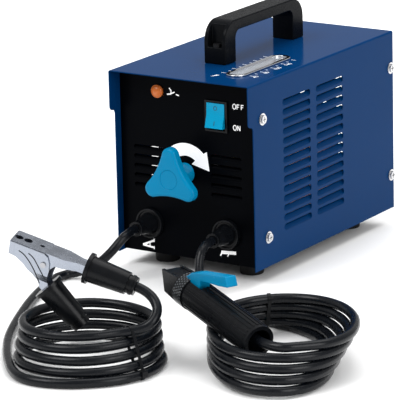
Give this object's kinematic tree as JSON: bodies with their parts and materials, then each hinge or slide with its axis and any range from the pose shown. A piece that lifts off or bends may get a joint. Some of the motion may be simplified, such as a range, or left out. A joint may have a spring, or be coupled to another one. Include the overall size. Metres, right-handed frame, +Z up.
{
  "type": "portable stick welding transformer",
  "caption": "Boxy portable welding transformer with carrying handle, lobed current knob, louvred cover, coiled cables, earth clamp and electrode holder.",
  "frame": {"origin": "centre of the footprint of the case, clamp and holder together, on the floor the feet and coils stand on", "axes": "+Z up; -Y is the front with the knob; +X is the side of the case nearer the electrode holder"},
  "size_m": [0.4131, 0.6335, 0.2455],
  "materials": {
    "navy_paint": "smooth gloss coat",
    "black_paint": "fine matt coat",
    "rubber": "matt",
    "zinc_screws": "bright zinc",
    "handle_plastic": "moulded, fine grain on top",
    "chromed_ring": "polished",
    "clear_window": "clear",
    "pointer_red": "glossy",
    "blue_plastic": "satin moulded",
    "steel": "turned",
    "brass": "machined",
    "zinc_sheet": "zinc-plated sheet",
    "lamination": "stacked laminations, dull",
    "guide_laminate": "pressed laminate",
    "bobbin_plastic": "moulded",
    "winding_copper": "varnished wire",
    "black_plastic": "moulded",
    "motor_steel": "dull",
    "switch_blue": "glossy, translucent",
    "lamp_amber": "glossy, translucent",
    "cable_rubber": "satin",
    "clamp_zinc": "bright zinc, light scratches",
    "spring_steel": "drawn wire"
  },
  "bodies": {
    "welder": {"cover": "navy_paint", "front_panel": "black_paint", "rear_panel": "black_paint", "base_plate": "black_paint", "feet": "rubber", "machine_screws": "zinc_screws", "cover_screws": "zinc_screws", "lock_nuts": "zinc_screws", "handle": "handle_plastic", "scale_bezel": "chromed_ring", "scale_lens": "clear_window", "spindle_bush": "brass", "rear_bracket": "zinc_sheet", "shunt_guides": "guide_laminate", "transformer_core": "lamination", "core_brackets": "zinc_sheet", "core_bolts": "zinc_screws", "coil_formers": "bobbin_plastic", "primary_winding": "winding_copper", "secondary_winding": "winding_copper", "thermal_cutout": "black_plastic", "output_board": "guide_laminate", "output_lugs": "winding_copper", "output_studs": "zinc_screws", "fan_motor": "motor_steel", "mains_terminal_block": "bobbin_plastic", "switch_frame": "black_plastic", "lamp_lens": "lamp_amber", "lamp_body": "bobbin_plastic", "earth_gland": "black_plastic", "electrode_gland": "black_plastic", "mains_gland": "black_plastic", "earth_cable_lead": "cable_rubber", "earth_cable_coil": "cable_rubber", "earth_cable_tail": "cable_rubber", "electrode_cable_lead": "cable_rubber", "electrode_cable_coil": "cable_rubber", "electrode_cable_tail": "cable_rubber", "cable_ties": "black_plastic", "clamp_upper_arm": "clamp_zinc", "clamp_rivet": "steel", "clamp_spring": "spring_steel", "clamp_cable_sleeve": "black_plastic", "holder_head": "black_plastic", "holder_grip": "black_plastic", "holder_lower_jaw": "brass", "holder_pin": "steel", "holder_spring": "spring_steel"},
    "knob_and_spindle": {"knob": "blue_plastic", "knob_cap": "blue_plastic", "spindle": "steel"},
    "moving_shunt": {"shunt_core": "lamination", "shunt_nut": "brass", "scale_pointer": "pointer_red"},
    "rocker": {"switch_rocker": "switch_blue"},
    "fan": {"fan_blades": "black_plastic"},
    "clamp_lower_jaw": {"clamp_lower_arm": "clamp_zinc", "clamp_grip_sleeve": "black_plastic"},
    "holder_top_jaw": {"holder_lever": "blue_plastic", "holder_upper_jaw": "black_plastic"}
  },
  "joints": [
    {"name": "knob_turn", "type": "hinge", "parent": "welder", "child": "knob_and_spindle", "pos_m": [-0.0845, 0.0176, 0.1045], "axis": [0, 1, 0], "range_deg": [0, 3240]},
    {"name": "shunt_slide", "type": "slide", "parent": "welder", "child": "moving_shunt", "axis": [0, -1, 0], "range_m": [0, 0.072]},
    {"name": "rocker_switch", "type": "hinge", "parent": "welder", "child": "rocker", "pos_m": [-0.0488, 0.0281, 0.1653], "axis": [1, 0, 0], "range_deg": [0, 20]},
    {"name": "fan_spin", "type": "hinge", "parent": "welder", "child": "fan", "pos_m": [-0.0845, 0.2586, 0.11], "axis": [0, 1, 0], "continuous": true},
    {"name": "clamp_open", "type": "hinge", "parent": "welder", "child": "clamp_lower_jaw", "pos_m": [-0.04533, -0.26822, 0.09636], "axis": [0.2833, -0.9539, -0.0988], "range_deg": [0, 25], "stiffness_Nm_per_rad": 2, "springref_deg": -17.19},
    {"name": "holder_press", "type": "hinge", "parent": "welder", "child": "holder_top_jaw", "pos_m": [0.05713, -0.18932, 0.06761], "axis": [0.4226, 0.9063, 0], "range_deg": [0, 10], "stiffness_Nm_per_rad": 2, "springref_deg": -17.19, "deforming": ["holder_spring"]}
  ],
  "couplings": [
    {"joint": "knob_turn", "follows": "shunt_slide", "rad_per_m": 785.39}
  ]
}
